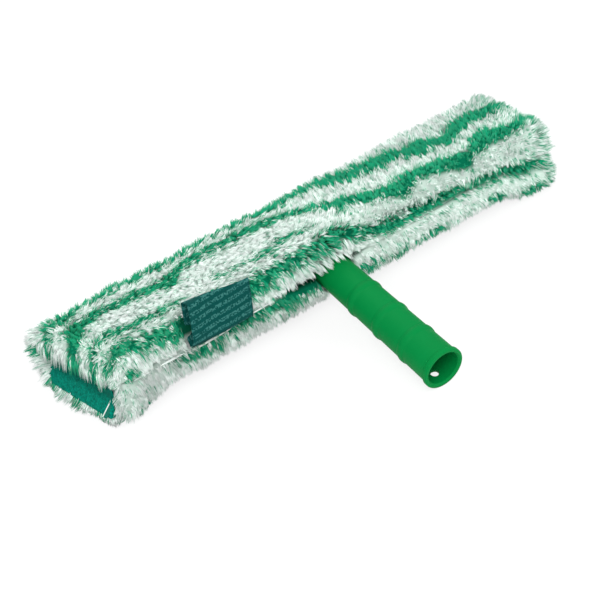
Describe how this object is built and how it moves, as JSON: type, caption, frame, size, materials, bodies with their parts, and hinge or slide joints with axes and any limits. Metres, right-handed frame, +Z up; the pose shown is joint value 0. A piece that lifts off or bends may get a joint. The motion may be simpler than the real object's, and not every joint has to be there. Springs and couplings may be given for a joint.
{
  "type": "window scrubber",
  "caption": "T-bar window scrubber: striped pile washing sleeve with a scouring end pad, on a crossbar whose ribbed socket handle tilts and takes an extension pole.",
  "frame": {"origin": "centre of the bounding box at the level of the floor the scrubber lies on", "axes": "+X along the head towards the end without the scouring pad, handle towards -Y, +Z up"},
  "size_m": [0.46, 0.239, 0.0793],
  "materials": {
    "handle_plastic": "satin moulded polypropylene",
    "bar_plastic": "satin moulded polypropylene",
    "pin_steel": "turned",
    "washer_plastic": "natural",
    "pile": "long striped pile",
    "scouring_pad": "matted abrasive fibre",
    "backing_cloth": "knitted",
    "closure_tape": "hook and loop",
    "hem": "woven tape",
    "label_ribbon": "woven ribbon"
  },
  "bodies": {
    "sleeve": {"pile_wrap": "pile", "front_flap_upper": "pile", "front_flap_lower": "pile", "right_end_panel": "pile", "scrub_pad": "scouring_pad", "end_backing": "backing_cloth", "loop_tape_left": "closure_tape", "loop_tape_right": "closure_tape", "hook_tape_left": "closure_tape", "hook_tape_right": "closure_tape", "hem_strip_left": "hem", "hem_strip_right": "hem", "care_label": "label_ribbon"},
    "crossbar": {"crossbar": "bar_plastic", "pivot_pin": "pin_steel", "pin_clip": "pin_steel", "friction_washer_left": "washer_plastic", "friction_washer_right": "washer_plastic"},
    "handle": {"handle": "handle_plastic"}
  },
  "joints": [
    {"name": "tbar_pull_out", "type": "slide", "parent": "sleeve", "child": "crossbar", "axis": [0, -0.9898, 0.1422], "range_m": [0, 0.115], "deforming": ["front_flap_upper", "hook_tape_left", "hook_tape_right", "care_label", "front_flap_lower", "hem_strip_left", "hem_strip_right", "loop_tape_left", "loop_tape_right"]},
    {"name": "handle_tilt", "type": "hinge", "parent": "crossbar", "child": "handle", "pos_m": [0, 0.04543, 0.03762], "axis": [-1, 0, 0], "range_deg": [0, 30]}
  ]
}
